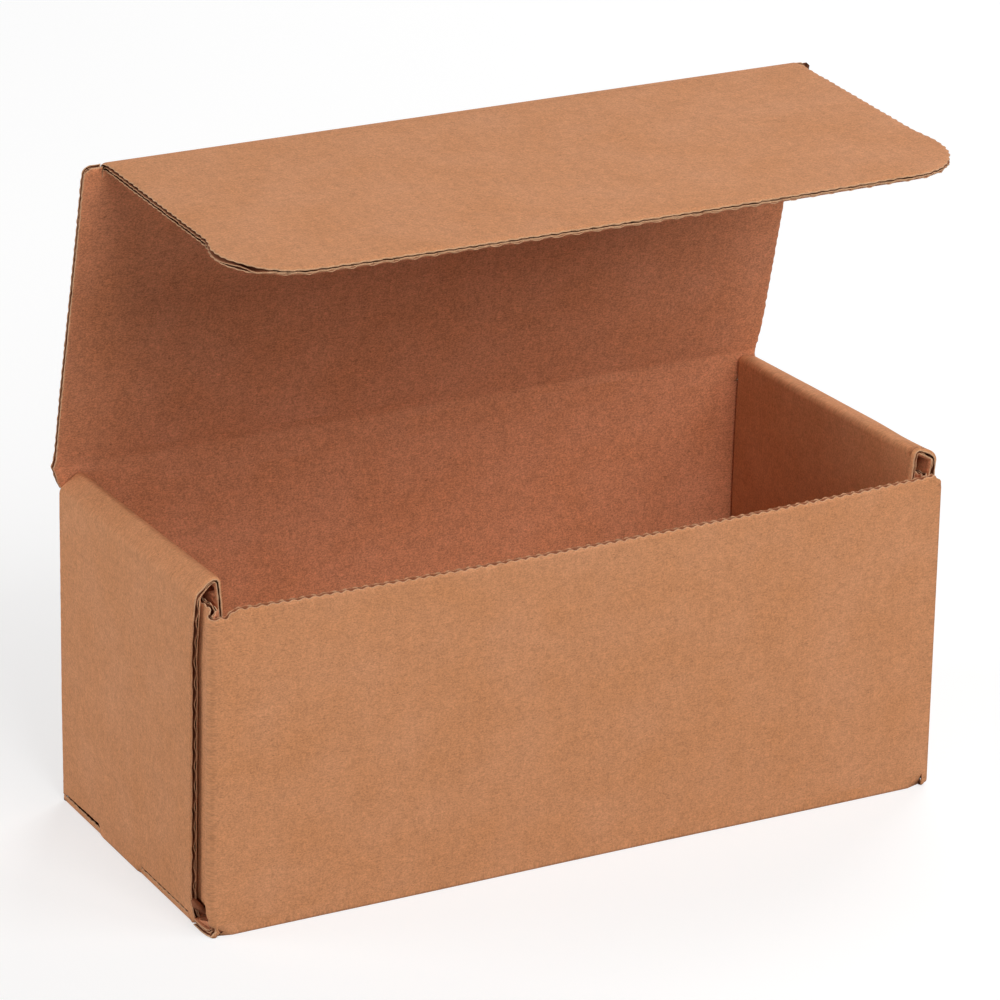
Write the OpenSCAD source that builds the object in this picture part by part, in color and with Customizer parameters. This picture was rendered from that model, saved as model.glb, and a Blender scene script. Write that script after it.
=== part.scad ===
// Corrugated mailer box: a die-cut sheet folded into a tray with rolled
// double side walls, a hinged lid and a tuck flap on the lid's front edge.
// Origin at the middle of the tray's underside, +X along the box,
// -Y towards the front panel, +Z up.

/* [Board] */
// Thickness of the corrugated board
board_t = 2.7; // [2:0.1:4]
// Thickness of each liner at a cut edge
liner_t = 0.4; // [0.2:0.05:0.7]
// Length of one flute wave
flute_pitch = 6.5; // [5:0.1:9]
// Depth to which the flutes are open at a cut edge
flute_depth = 2; // [0.5:0.5:4]

/* [Inside] */
// Clear length between the inner side walls
inside_l = 228.6; // [160:0.1:400]
// Clear width from the back panel to the tucked-in flap
inside_w = 101.6; // [80:0.1:240]

/* [Tray] */
// Height of the rolled side walls
wall_h = 109; // [70:1:200]
// Height of the front panel
front_h = 103; // [60:1:190]
// Outer radius of the folds round the bottom panel
fold_r = 2.4; // [1:0.1:2.6]
// Radius of the bottom panel's corners
corner_r = 6; // [3:0.5:10]
// Distance from the front face back to the side walls' front ends
wall_setback = 11.2; // [8:0.1:20]
// How far the inner side walls reach in front of the outer ones
inner_reach = 1.6; // [0:0.1:3]
// Height below the wall's top over which the inner wall's front edge runs in
inner_taper = 9; // [4:1:20]
// Slope of the roll along a side wall's top, which falls from its inner to its outer edge
roll_slope = 38.6; // [30:0.1:45]
// Outer radius of the bend at the roll's outer edge
roll_bend_r = 3.2; // [1:0.1:4]
// Outer radius of the crest at the roll's inner edge
roll_crest_r = 2.2; // [1.5:0.1:2.6]

/* [Corner flaps] */
// How far the front panel's folds stand out past the side walls
front_reach = 0.6; // [0:0.1:1.5]
// Outer radius of the upright folds
upright_r = 3.2; // [2.8:0.1:5]
// Length of the straight stretch of a front corner flap before it steps in
flap_straight = 6.4; // [4:0.1:9]
// Length of a corner flap from the upright fold
flap_l = 46; // [20:1:60]
// How far a corner flap's top lies below the front panel's top
flap_drop = 1.2; // [0:0.1:6]
// Height of a corner flap's lower edge
flap_foot = 4; // [3:0.5:15]
// Width of the small bevel on the front panel's upper corners
bevel_w = 3; // [1:0.5:8]
// Height of that bevel
bevel_h = 2.4; // [1:0.1:6]
// How much the front panel narrows at each end towards its foot
foot_taper = 2; // [0.5:0.1:3]
// Height over which it narrows
foot_taper_h = 8; // [4:0.5:20]
// Height of the back panel's ears, which reach out under the lid's hinge
ear_h = 8; // [4:0.5:15]

/* [Locking tabs] */
// Middle of the rear tab, measured back from the box's middle
rear_tab_y = 38; // [30:1:45]
// Length of the rear tab
rear_tab_l = 20; // [8:1:24]
// Middle of the front tab, measured forward from the box's middle
front_tab_y = 22.5; // [15:0.5:35]
// Length of the front tab
front_tab_l = 28; // [8:1:32]
// How far the slit along the fold reaches past each end of a tab
slit_over = 3; // [1:0.5:5]
// Depth of the slit into the side of the fold
slit_depth = 1.4; // [0.5:0.1:2]
// Height of the slit
slit_h = 3.2; // [2:0.1:5]

/* [Lid] */
// Angle at which the lid stands open, from shut
lid_open = 75.6; // [0:0.1:110]
// Radius of the lid's front corners
lid_corner_r = 3; // [1:0.5:8]
// How far the lid's corners reach past the middle of the tuck flap's fold
shoulder = 0.5; // [0:0.1:1.5]
// How much narrower each side of the lid is at the hinge
lid_waist = 1.5; // [0.5:0.1:4]
// Length over which the lid narrows towards the hinge
lid_waist_l = 12; // [6:1:30]

/* [Tuck flap] */
// Length of the tuck flap, from its fold to its front edge
tuck_l = 103; // [60:1:105]
// Angle by which the tuck flap is folded in, from flat
tuck_fold = 78.2; // [0:0.1:95]
// How far each side of the tuck flap stands in from the lid's side
tuck_inset = 5.7; // [5:0.1:20]
// How far each ear stands out from the tuck flap's side
ear_out = 2; // [0:0.1:3]
// Distance from the tuck flap's front edge back to the ears' rear end
ear_back = 30.5; // [30:0.5:45]
// Length of the step out to an ear
ear_step = 6.5; // [2:0.5:8]
// Radius of the tuck flap's front corners
tuck_corner_r = 22; // [5:1:22]

/* [Clearances] */
// Gap between the layers of a side wall
layer_gap = 0.3; // [0.1:0.05:0.6]
// Room that the tuck flap has behind the front panel, beyond its thickness
tuck_room = 0.4; // [0.35:0.05:3]
// Gap between the tucked-in flap and the front panel when the lid is shut
tuck_gap = 0.3; // [0.1:0.05:0.35]
// Gap between the shut lid and the side walls
lid_gap = 0.6; // [0.1:0.05:1]
// Gap at the round of a hinge fold
hinge_gap = 0.4; // [0.3:0.05:1]
// Gap round a locking tab in its slot
tab_gap = 0.25; // [0.1:0.05:0.5]

/* [Hidden] */
$fn = 48;
kraft = [0.75, 0.55, 0.38];
eps = 0.01;
past = 5;

// Overall sizes of the tray, from the inside sizes and the layers
wall_stack = 3 * board_t + 2 * layer_gap;
tray_l = inside_l + 2 * wall_stack;
tray_w = inside_w + 3 * board_t + tuck_room;
half_l = tray_l / 2;
half_w = tray_w / 2;

// Layers of a side wall, as distances from the box's middle
outer_in = half_l - board_t;
flap_out = outer_in - layer_gap;
flap_in = flap_out - board_t;
inner_out = flap_in - layer_gap;
inner_in = inner_out - board_t;

// The roll's outline: where its slope, run on, would meet the wall's two faces,
// and how far from there the bend and the crest start
crest_run = roll_crest_r * tan((90 + roll_slope) / 2);
bend_run = roll_bend_r * tan((90 - roll_slope) / 2);
slope_top = wall_h + crest_run - roll_crest_r;
slope_foot = slope_top - (half_l - inner_in) * tan(roll_slope);

// Places along the box's width
wall_front = -half_w + wall_setback;
wall_back = half_w - board_t - layer_gap;
flap_front_end = -half_w + flap_l;
flap_back_end = half_w - flap_l;
front_half = half_l + front_reach;

// Hinge axes: the lid's in the back panel's plane, the flap's in the lid's
hinge_y = half_w - board_t / 2;
hinge_z = wall_h + lid_gap + board_t / 2;
lid_reach = tray_w - 2 * board_t - tuck_gap;
hinge_start = board_t / 2 + hinge_gap;
tuck_half = half_l - tuck_inset;
ear_half = tuck_half + ear_out;
tuck_tip = tuck_l - board_t / 2;

module block(from, to) {
    translate(from) cube(to - from);
}

// Mirrors its children to both ends of the box
module both_ends() {
    children();
    mirror([1, 0, 0]) children();
}

// One flute's two openings, cut through the board between the liners
module flute_openings() {
    crest = (board_t / 2 - liner_t);
    wide = 0.36 * flute_pitch;
    narrow = 0.06 * flute_pitch;
    for (side = [-1, 1])
        translate([side * flute_pitch / 4, 0])
            polygon([
                [-wide, side * crest], [wide, side * crest],
                [narrow, -side * crest * 0.7], [-narrow, -side * crest * 0.7]
            ]);
}

// A row of flute openings centred on the origin, along X, cut upwards in Z
module flute_row(length) {
    count = floor((length - flute_pitch) / flute_pitch);
    for (i = [0:count])
        translate([(i - count / 2) * flute_pitch, 0, -flute_depth])
            linear_extrude(flute_depth + past) flute_openings();
}

// Outline of a section of the folded sheet with its two lower folds rounded
module folded_outline(half) {
    translate([-half + fold_r, 0]) square([2 * (half - fold_r), wall_h * 2]);
    translate([-half, fold_r]) square([2 * half, wall_h * 2]);
    for (side = [-1, 1])
        translate([side * (half - fold_r), fold_r]) circle(fold_r);
}

// The space that the rounded folds along the front and the back leave
module long_folds() {
    translate([-half_l - past, 0, 0]) rotate([90, 0, 90])
        linear_extrude(tray_l + 2 * past) folded_outline(half_w);
}

// The space that the rounded folds at the two ends leave
module end_folds() {
    translate([0, half_w + past, 0]) rotate([90, 0, 0])
        linear_extrude(tray_w + 2 * past) folded_outline(half_l);
}

module bottom_panel() {
    intersection() {
        end_folds();
        linear_extrude(board_t) {
            square([tray_l - 2 * corner_r, tray_w], center = true);
            square([tray_l, tray_w - 2 * corner_r], center = true);
            for (x = [-1, 1], y = [-1, 1])
                translate([x * (half_l - corner_r), y * (half_w - corner_r)])
                    circle(corner_r);
        }
    }
}

// Plan of an upright panel between its two folds, with the folds' rounds
module panel_plan(half, depth) {
    difference() {
        union() {
            translate([-half + upright_r, 0]) square([2 * (half - upright_r), depth]);
            translate([-half, upright_r]) square([2 * half, depth - upright_r]);
            for (side = [-1, 1])
                translate([side * (half - upright_r), upright_r]) circle(upright_r);
        }
        translate([-half + board_t, board_t]) square([2 * (half - board_t), depth]);
    }
}

// The front corner flap steps in to pass behind the outer side wall
module front_flap_plan() {
    step_y = -half_w + flap_straight;
    polygon([
        [front_half, step_y - eps],
        [front_half, step_y],
        [flap_out, wall_front - eps],
        [flap_out, flap_front_end],
        [flap_in, flap_front_end],
        [flap_in, wall_front],
        [front_half - board_t, step_y - eps]
    ]);
}

module front_panel() {
    flap_top = front_h - bevel_h - flap_drop;
    difference() {
        union() {
            linear_extrude(front_h)
                translate([0, -half_w]) panel_plan(front_half, flap_straight);
            both_ends() linear_extrude(front_h) front_flap_plan();
        }
        // Corner flaps are lower than the panel and end above the bottom
        both_ends() block(
            [flap_in - past, -half_w + board_t, front_h - flap_drop],
            [half_l + past, flap_front_end + past, front_h + past]);
        both_ends() block(
            [inner_in, -half_w + upright_r, -past],
            [half_l + past, flap_front_end + past, flap_foot]);
        // Bevels where the panel's top meets the upright folds
        both_ends() translate([front_half - bevel_w, half_w, front_h]) rotate([90, 0, 0])
            linear_extrude(tray_w + past)
                polygon([[-bevel_w, 0], [past, 0], [past, -bevel_h], [0, -bevel_h]]);
        // The front panel narrows at its foot
        both_ends() translate([front_half, half_w, 0]) rotate([90, 0, 0])
            linear_extrude(tray_w + past)
                polygon([
                    [past, foot_taper_h], [0, foot_taper_h], [-foot_taper, 0],
                    [-foot_taper, -past], [past, -past]
                ]);
        translate([0, -half_w + board_t / 2, front_h])
            flute_row(2 * (front_half - 3 * bevel_w));
    }
}

// Outline of the back panel, whose ears reach out over the side walls' ends
module back_outline() {
    ear_z = hinge_z - ear_h;
    polygon([
        [-flap_out, 0], [flap_out, 0],
        [flap_out, ear_z], [half_l - lid_waist / 2, ear_z + ear_h / 2],
        [half_l - lid_waist, hinge_z], [-half_l + lid_waist, hinge_z],
        [-half_l + lid_waist / 2, ear_z + ear_h / 2], [-flap_out, ear_z]
    ]);
}

module back_panel() {
    // The panel between its folds, and the flaps that run forward from them
    difference() {
        translate([0, half_w]) mirror([0, 1, 0])
            linear_extrude(hinge_z - ear_h) panel_plan(flap_out, flap_l);
        both_ends() block(
            [flap_in - past, flap_back_end - past, front_h - flap_drop],
            [half_l + past, half_w - upright_r, hinge_z + past]);
        both_ends() block(
            [inner_in, flap_back_end - past, -past],
            [half_l + past, half_w - upright_r, flap_foot]);
    }
    // The upper part with its ears, and the round of the lid's fold
    translate([0, half_w, 0]) rotate([90, 0, 0])
        linear_extrude(board_t) intersection() {
            back_outline();
            translate([-half_l, hinge_z - ear_h - eps]) square([tray_l, ear_h + 1]);
        }
    translate([-half_l + lid_waist, hinge_y, hinge_z]) rotate([0, 90, 0])
        cylinder(h = 2 * (half_l - lid_waist), d = board_t);
}

// Section of a rolled side wall: two layers joined by the roll on top
module wall_section() {
    // Height of the roll's underside at a place x
    function underside(x) = slope_foot + (half_l - x) * tan(roll_slope)
        - board_t / cos(roll_slope);
    difference() {
        union() {
            polygon([
                [inner_in, 0], [half_l, 0], [half_l, slope_foot - bend_run],
                [half_l - bend_run * cos(roll_slope), slope_foot + bend_run * sin(roll_slope)],
                [inner_in + crest_run * cos(roll_slope), slope_top - crest_run * sin(roll_slope)],
                [inner_in, slope_top - crest_run]
            ]);
            translate([half_l - roll_bend_r, slope_foot - bend_run]) circle(roll_bend_r);
            translate([inner_in + roll_crest_r, slope_top - crest_run]) circle(roll_crest_r);
        }
        polygon([
            [inner_out, -past], [outer_in, -past],
            [outer_in, underside(outer_in)], [inner_out, underside(inner_out)]
        ]);
        translate([inner_in - past, -past])
            square([inner_out - inner_in + past + eps, board_t + layer_gap + past]);
    }
}

// Side view of the inner wall, whose front edge runs in under the roll
module inner_wall_outline() {
    front = wall_front - inner_reach;
    polygon([
        [wall_back, 0], [wall_back, wall_h + past], [wall_front, wall_h + past],
        [wall_front, wall_h - board_t], [front, wall_h - inner_taper], [front, 0]
    ]);
}

module side_wall() {
    intersection() {
        translate([0, wall_back, 0]) rotate([90, 0, 0])
            linear_extrude(wall_back - wall_front + inner_reach) wall_section();
        union() {
            translate([inner_in - past, 0, 0]) rotate([90, 0, 90])
                linear_extrude(inner_out - inner_in + past) inner_wall_outline();
            block([inner_out - eps, wall_front, 0], [half_l + past, wall_back, wall_h + past]);
        }
    }
    tab(rear_tab_y, rear_tab_l);
    tab(-front_tab_y, front_tab_l);
}

// A locking tab on the inner wall's lower edge
module tab(middle, length) {
    block([inner_in, middle - length / 2, tab_gap],
          [inner_out, middle + length / 2, board_t + layer_gap + eps]);
}

// The slot that a tab goes down into, and the slit along the fold beside it
module tab_slot(middle, length) {
    reach = length / 2 + slit_over;
    block([inner_in - tab_gap, middle - length / 2 - tab_gap, -past],
          [inner_out + tab_gap, middle + length / 2 + tab_gap, board_t + eps]);
    block([half_l - slit_depth, middle - reach, -past],
          [half_l + past, middle + reach, slit_h]);
}

// Flutes at the front ends of a side wall's two layers
module wall_end_flutes() {
    outer_top = slope_foot - bend_run;
    inner_top = wall_h - inner_taper;
    translate([half_l - board_t / 2, wall_front, (outer_top + board_t) / 2])
        rotate([90, 90, 0]) flute_row(outer_top - board_t);
    translate([inner_in + board_t / 2, wall_front - inner_reach, (inner_top + board_t) / 2])
        rotate([90, 90, 0]) flute_row(inner_top - board_t - 2 * layer_gap);
}

module tray() {
    color(kraft) {
        difference() {
            intersection() {
                long_folds();
                union() {
                    bottom_panel();
                    front_panel();
                    back_panel();
                }
            }
            both_ends() tab_slot(rear_tab_y, rear_tab_l);
            both_ends() tab_slot(-front_tab_y, front_tab_l);
        }
        both_ends() difference() {
            intersection() {
                end_folds();
                side_wall();
            }
            slit_cut(rear_tab_y, rear_tab_l);
            slit_cut(-front_tab_y, front_tab_l);
            wall_end_flutes();
        }
    }
}

// The slit alone, as it cuts the outer side wall's lower edge
module slit_cut(middle, length) {
    reach = length / 2 + slit_over;
    block([outer_in - eps, middle - reach, -past], [half_l + past, middle + reach, slit_h]);
}

// Open groove along a cut edge that the flutes run beside, ending in -Y
module edge_groove(from_y, to_y, x) {
    block([x - flute_depth / 2, -to_y, liner_t - board_t / 2],
          [x + past, -from_y, board_t / 2 - liner_t]);
}

// What is cut off a square corner at x, y to round it
module corner_waste(x, y, r) {
    difference() {
        translate([x - r, y - past]) square(r + past);
        translate([x - r, y + r]) circle(r);
    }
}

// The lid lies flat here: hinge along X at the origin, front edge in -Y
module lid_plan() {
    front = -lid_reach - shoulder;
    difference() {
        polygon([
            [-half_l + lid_waist, -hinge_start], [half_l - lid_waist, -hinge_start],
            [half_l, -lid_waist_l], [half_l, front], [-half_l, front],
            [-half_l, -lid_waist_l]
        ]);
        both_ends() corner_waste(half_l, front, lid_corner_r);
    }
}

module lid_flat() {
    difference() {
        translate([0, 0, -board_t / 2]) linear_extrude(board_t) lid_plan();
        // Room for the tuck flap's fold between the lid's two front corners
        block([-tuck_half - hinge_gap, -lid_reach - past, -board_t],
              [tuck_half + hinge_gap, -lid_reach, board_t]);
        both_ends() edge_groove(2 * lid_waist_l, lid_reach - 2 * lid_corner_r, half_l);
    }
    translate([-tuck_half - hinge_gap, -lid_reach, 0]) rotate([0, 90, 0])
        cylinder(h = 2 * (tuck_half + hinge_gap), d = board_t);
}

// The tuck flap lies flat here: fold along X at the origin, front edge in -Y
module tuck_plan() {
    ear_y = -tuck_tip + ear_back;
    difference() {
        polygon([
            [-tuck_half, -hinge_start], [tuck_half, -hinge_start], [tuck_half, ear_y],
            [ear_half, ear_y - ear_step], [ear_half, -tuck_tip], [-ear_half, -tuck_tip],
            [-ear_half, ear_y - ear_step], [-tuck_half, ear_y]
        ]);
        both_ends() corner_waste(ear_half, -tuck_tip, tuck_corner_r);
    }
}

module tuck_flat() {
    difference() {
        translate([0, 0, -board_t / 2]) linear_extrude(board_t) tuck_plan();
        translate([0, -tuck_tip, 0]) rotate([90, 0, 0])
            flute_row(2 * (ear_half - tuck_corner_r));
        both_ends() edge_groove(2 * board_t, tuck_tip - ear_back, tuck_half);
    }
}

module on_hinge() {
    translate([0, hinge_y, hinge_z]) rotate([-lid_open, 0, 0]) children();
}

module lid() {
    color(kraft) on_hinge() lid_flat();
}

module tuck_flap() {
    color(kraft) on_hinge()
        translate([0, -lid_reach, 0]) rotate([tuck_fold, 0, 0]) tuck_flat();
}

tray();
lid();
tuck_flap();
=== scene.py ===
import bpy
import math
import numpy as np
from mathutils import Matrix, Vector
from mathutils.geometry import delaunay_2d_cdt


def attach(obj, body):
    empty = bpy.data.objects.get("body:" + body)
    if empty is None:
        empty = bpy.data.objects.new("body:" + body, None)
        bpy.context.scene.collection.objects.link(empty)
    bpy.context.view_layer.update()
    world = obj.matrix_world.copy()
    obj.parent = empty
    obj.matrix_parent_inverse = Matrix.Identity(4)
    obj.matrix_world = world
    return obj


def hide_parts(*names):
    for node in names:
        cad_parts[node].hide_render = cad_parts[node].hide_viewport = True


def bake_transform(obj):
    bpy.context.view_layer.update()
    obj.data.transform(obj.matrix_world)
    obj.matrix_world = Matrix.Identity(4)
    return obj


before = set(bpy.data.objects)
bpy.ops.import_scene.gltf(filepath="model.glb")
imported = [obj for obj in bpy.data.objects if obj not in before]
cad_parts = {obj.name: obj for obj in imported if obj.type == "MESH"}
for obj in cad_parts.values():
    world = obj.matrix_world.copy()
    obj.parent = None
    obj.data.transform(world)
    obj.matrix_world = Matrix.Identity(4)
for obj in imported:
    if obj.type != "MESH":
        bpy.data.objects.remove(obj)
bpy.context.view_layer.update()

MM = 0.001
scene = bpy.context.scene
rng = np.random.default_rng(11)

# The board, in millimetres: its thickness, half of it, its liners, the wavy sheet between them
# with its swing to either side, and the lengths of a flute and of a tooth of the cutting knife
T = 2.7
H = T / 2
LINER = 0.38
MEDIUM = 0.26
SWING = 0.38
PITCH = 6.5
KNIFE_PITCH = 3.3

# The folded box: half its outer length and width, and the front panel's height
HALF_L = 123.0
HALF_W = 55.05
FRONT_H = 103.0
# Middles of the corner flaps and of a side wall's inner and outer layers, from the centre
FLAP_MID = 118.65
INNER_MID = 115.65
OUTER_MID = 121.65
# Front and back ends of the side walls
WALL_FRONT = -43.85
WALL_BACK = 52.05
# Half the length over which the back panel joins its neighbours, and the corner flaps' top
BACK_HALF = 116.5
FLAP_TOP = 101.4
# How far the front panel bows forward at its top, and the inner walls bow inward
FRONT_BOW = 3.4
INNER_BOW = 1.2
# Where the inner walls' locking tabs start and end, how far their corners are cut back, and
# the room to either side of a tab in its slot
TABS_Y = ((-36.5, -8.5), (28.0, 48.0))
TAB_BEVEL = 0.7
SLOT_ROOM = 0.25
SLOT_X = (114.05, 117.25)
# The lid's hinge line, the angles at which the lid and the tuck flap stand, and how far the
# lid reaches from its hinge line to its front fold
HINGE = (53.7, 110.95)
LID_OPEN = math.radians(75.6)
TUCK_FOLD = math.radians(78.2)
LID_REACH = 104.4
# Length of a crease to either side of its fold
BAND = 3.0
# Where the lid's front fold ends at the right and at the left
SHOULDER_RIGHT = 118.0
SHOULDER_LEFT = 116.9

# Materials

PAPER_ROUGHNESS = 0.86


def nodes_of(mat):
    mat.use_nodes = True
    return mat.node_tree.nodes, mat.node_tree.links


def paper(name, base, lines=0.0, bump=1.0, grain=1.0):
    """Kraft paper: mottled, flecked and fibrous, with the flutes showing faintly through it as a
    low relief and as painted shade in faint bands.
    """
    mat = bpy.data.materials.new(name)
    nodes, links = nodes_of(mat)
    bsdf = nodes["Principled BSDF"]
    bsdf.inputs["Roughness"].default_value = PAPER_ROUGHNESS
    bsdf.inputs["Specular IOR Level"].default_value = 0.25
    flat = nodes.new("ShaderNodeAttribute")
    flat.attribute_name = "flat"

    def scaled(sx, sy, sz):
        m = nodes.new("ShaderNodeMapping")
        m.inputs["Scale"].default_value = (sx, sy, sz)
        links.new(flat.outputs["Vector"], m.inputs["Vector"])
        return m.outputs["Vector"]

    def noise(vec, scale, detail, roughness=0.55):
        n = nodes.new("ShaderNodeTexNoise")
        n.inputs["Scale"].default_value = scale
        n.inputs["Detail"].default_value = detail
        n.inputs["Roughness"].default_value = roughness
        links.new(vec, n.inputs["Vector"])
        return n.outputs["Fac"]

    def spread(value, lo, hi, to_lo, to_hi):
        m = nodes.new("ShaderNodeMapRange")
        m.inputs["From Min"].default_value = lo
        m.inputs["From Max"].default_value = hi
        m.inputs["To Min"].default_value = to_lo
        m.inputs["To Max"].default_value = to_hi
        links.new(value, m.inputs["Value"])
        return m.outputs["Result"]

    def math_node(op, a, b):
        m = nodes.new("ShaderNodeMath")
        m.operation = op
        for socket, x in zip(m.inputs, (a, b)):
            if isinstance(x, (int, float)):
                socket.default_value = x
            else:
                links.new(x, socket)
        return m.outputs[0]

    # Each layer of the pattern changes the colour's value by a small share of it
    plain = scaled(1, 1, 1)
    cloud = 0.018
    clouds = spread(noise(plain, 45, 3), 0.3, 0.7, -cloud, cloud)
    mottle = spread(noise(plain, 420, 4, 0.65), 0.3, 0.7, -0.05, 0.05)
    fleck = spread(noise(scaled(1, 1.3, 1), 1900, 2, 0.7), 0.35, 0.65, -0.10, 0.10)
    fibre_a = spread(noise(scaled(260, 2300, 300), 1, 3, 0.6), 0.35, 0.65, -0.022, 0.022)
    fibre_b = spread(noise(scaled(1900, 330, 300), 1, 3, 0.6), 0.35, 0.65, -0.018, 0.018)
    specks = spread(noise(scaled(900, 1700, 900), 1, 2, 0.5), 0.26, 0.36, -0.14, 0.0)
    # Faint bands, one per flute, bump the surface and also lighten and darken its colour a little,
    # as painted shade of the flutes' relief
    wave = nodes.new("ShaderNodeTexWave")
    wave.wave_type = "BANDS"
    wave.bands_direction = "X"
    # At a scale of 1 the bands repeat every 2 pi / 20 metres
    wave.inputs["Scale"].default_value = 2 * math.pi / (20 * PITCH * MM)
    wave.inputs["Distortion"].default_value = 0.35
    wave.inputs["Detail"].default_value = 1
    wave.inputs["Detail Scale"].default_value = 30
    links.new(plain, wave.inputs["Vector"])
    flutes = spread(wave.outputs["Fac"], 0, 1, -0.016 * lines, 0.016 * lines)
    total = clouds
    for part in (mottle, fleck, fibre_a, fibre_b, specks):
        total = math_node("ADD", total, part)
    total = math_node("ADD", math_node("MULTIPLY", total, grain), flutes)
    total = math_node("ADD", total, 1.0)
    hsv = nodes.new("ShaderNodeHueSaturation")
    hsv.inputs["Color"].default_value = (*base, 1)
    links.new(total, hsv.inputs["Value"])
    sat = spread(clouds, -cloud, cloud, 1.02, 0.98)
    links.new(sat, hsv.inputs["Saturation"])
    links.new(hsv.outputs["Color"], bsdf.inputs["Base Color"])
    relief = math_node("ADD", math_node("ADD", mottle, fibre_a), math_node("MULTIPLY", flutes, 2.0))
    relief = math_node("ADD", relief, fibre_b)
    b = nodes.new("ShaderNodeBump")
    b.inputs["Strength"].default_value = 0.25 * bump
    b.inputs["Distance"].default_value = 0.0006
    links.new(relief, b.inputs["Height"])
    links.new(b.outputs["Normal"], bsdf.inputs["Normal"])
    return mat


outer_paper = paper("kraft_outer", (0.586, 0.262, 0.121), lines=0.5, grain=1.55)
inner_paper = paper("kraft_inner", (0.606, 0.237, 0.116), lines=0.6, grain=2.2)
raw_paper = paper("cut_liner", (0.60, 0.34, 0.19), bump=2)
# The wavy sheet's paper, a darker kraft, partly its own tone and partly painted shade: it also
# covers the liners' backs inside the cut flutes and the cap where the hollow is closed, standing in
# for the shade deep in the flutes
flute_paper_and_hollow_shade = paper("flute_paper_and_hollow_shade", (0.30, 0.105, 0.048))
MATERIALS = [outer_paper, inner_paper, raw_paper, flute_paper_and_hollow_shade]
OUTER, INNER, RAW, FLUTE_AND_SHADE = range(4)

# Paths


class Path:
    """A line through points in a plane, with rounded corners, by its length from the middle.
    A radius may be a pair: that of the board's middle, and a sharper one of its outer face.
    In a tight bend the inner face stands nearer to the middle, and with a lead it is back at
    its full distance at that length past the bend."""

    # Length of a step along a bend
    STEP = 0.12

    def __init__(self, points, radii, lead=0.0):
        pts = [np.array(p, float) for p in points]
        # Gain holds, for each point, the shares of H at which the two faces stand
        out, bends, gain = [pts[0]], [], [(1.0, 1.0)]
        for before, here, after, r in zip(pts, pts[1:], pts[2:], radii):
            r, crisp = r if isinstance(r, tuple) else (r, r + H)
            a = (before - here) / np.linalg.norm(before - here)
            b = (after - here) / np.linalg.norm(after - here)
            half = math.acos(np.clip(a @ b, -1, 1)) / 2
            reach = r / math.tan(half)
            start, end = here + a * reach, here + b * reach
            middle = here + (a + b) / np.linalg.norm(a + b) * r / math.sin(half)
            t0 = math.atan2(*(start - middle)[::-1])
            t1 = math.atan2(*(end - middle)[::-1])
            turn = (t1 - t0 + math.pi) % (2 * math.pi) - math.pi
            steps = max(6, int(abs(turn) * r / self.STEP))
            if lead:
                out.append(start + a * lead)
                gain.append((1.0, 1.0))
            bends.append((len(out), len(out) + steps))
            out += [middle + r * np.array((math.cos(t0 + turn * i / steps),
                                           math.sin(t0 + turn * i / steps)))
                    for i in range(steps + 1)]
            outer = [self.reach(abs(turn) * i / steps, abs(turn), r, crisp)
                     for i in range(steps + 1)]
            inner = min(1.0, (r - 0.1) / H)
            gain += [(g, inner) if turn > 0 else (inner, g) for g in outer]
            if lead:
                out.append(end + b * lead)
                gain.append((1.0, 1.0))
        out.append(pts[-1])
        gain.append((1.0, 1.0))
        self.p = np.array(out)
        d = np.diff(self.p, axis=0)
        length = np.linalg.norm(d, axis=1)
        keep = np.concatenate(([True], length > 1e-9))
        remap = np.cumsum(keep) - 1
        self.p = self.p[keep]
        self.gain = np.array(gain)[keep]
        d = np.diff(self.p, axis=0)
        length = np.linalg.norm(d, axis=1)
        self.s = np.concatenate(([0], np.cumsum(length)))
        self.s -= self.s[-1] / 2
        t = np.gradient(self.p, self.s, axis=0)
        t /= np.linalg.norm(t, axis=1)[:, None]
        self.t = t
        self.n = np.stack((t[:, 1], -t[:, 0]), 1)
        self.bends = [(self.s[remap[a]], self.s[min(remap[b], len(self.s) - 1)]) for a, b in bends]

    def at(self, s):
        """Points and normals of the middle line, which runs on straight past its ends."""
        s = np.asarray(s, float)
        p = np.stack([np.interp(s, self.s, self.p[:, i]) for i in (0, 1)], 1)
        n = np.stack([np.interp(s, self.s, self.n[:, i]) for i in (0, 1)], 1)
        n /= np.linalg.norm(n, axis=1)[:, None]
        for side, end in ((s < self.s[0], 0), (s > self.s[-1], -1)):
            p[side] += (s[side] - self.s[end])[:, None] * self.t[end]
        return p, n

    @staticmethod
    def reach(angle, turn, r, crisp):
        """How far the outer face stands off the middle line in a bend, as a share of H."""
        flat = r + H
        if abs(flat - crisp) < 1e-9:
            return 1.0
        start = math.atan((flat - crisp) * math.tan(turn / 2) / flat)
        if angle < start:
            d = flat / math.cos(angle)
        elif turn - angle < start:
            d = flat / math.cos(turn - angle)
        else:
            g = (flat - crisp) / math.cos(turn / 2)
            off = angle - turn / 2
            d = g * math.cos(off) + math.sqrt(max(0.0, crisp ** 2 - (g * math.sin(off)) ** 2))
        return (d - r) / H

    def place(self, s, w):
        """Points at lengths s along the path and w off the board's middle."""
        p, n = self.at(s)
        gain = np.where(w > 0, np.interp(s, self.s, self.gain[:, 0]),
                        np.interp(s, self.s, self.gain[:, 1]))
        return (p + n * (w * gain)[:, None]).T

    def where(self, axis, value, last=False):
        """Length at which the path first, or last, crosses a value along one axis."""
        side = self.p[:, axis] - value
        found = np.nonzero(side[:-1] * side[1:] <= 0)[0]
        i = found[-1] if last else found[0]
        f = side[i] / (side[i] - side[i + 1])
        return self.s[i] + f * (self.s[i + 1] - self.s[i])


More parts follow.
